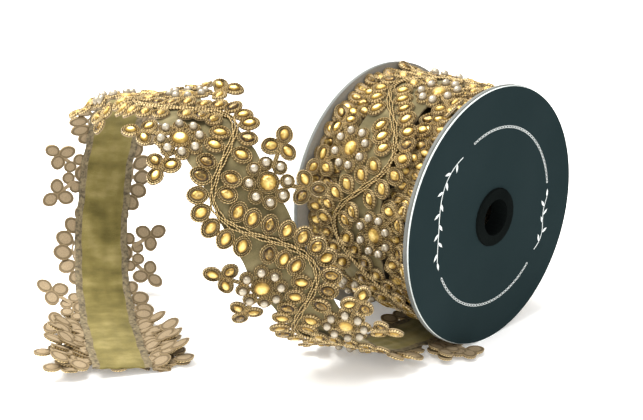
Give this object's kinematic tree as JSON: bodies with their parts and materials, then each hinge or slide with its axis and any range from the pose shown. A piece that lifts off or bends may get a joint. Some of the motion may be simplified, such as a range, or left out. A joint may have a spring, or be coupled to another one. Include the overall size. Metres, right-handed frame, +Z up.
{
  "type": "roll of beaded ribbon",
  "caption": "Card reel of velvet ribbon with a beaded gold lace edge, its loose end rising in a coil beside it and coming down on its cut end.",
  "frame": {"origin": "centre of the whole part's outline, on the floor", "axes": "+Z up, the reel's axis along X with its near face towards +X, the loose end standing out towards -Y and -X"},
  "size_m": [0.3032, 0.3422, 0.1773],
  "materials": {
    "grey_board": "matt grey fibreboard",
    "dark_card": "satin laminated card",
    "black_plastic": "moulded, slightly glossy",
    "brown_tube": "matt wound paper tube",
    "gold_lace": "twisted gold thread with beads over velvet",
    "olive_velvet": "short pile velvet",
    "gold_trim": "twisted gold thread with beads"
  },
  "bodies": {
    "root": {"flange_board_near": "grey_board", "flange_board_far": "grey_board", "face_card_near": "dark_card", "face_card_far": "dark_card", "hub_near": "black_plastic", "hub_far": "black_plastic", "core_tube": "brown_tube", "ribbon_roll": "gold_lace", "tail_ribbon": "olive_velvet", "tail_lace": "gold_trim"}
  },
  "joints": []
}
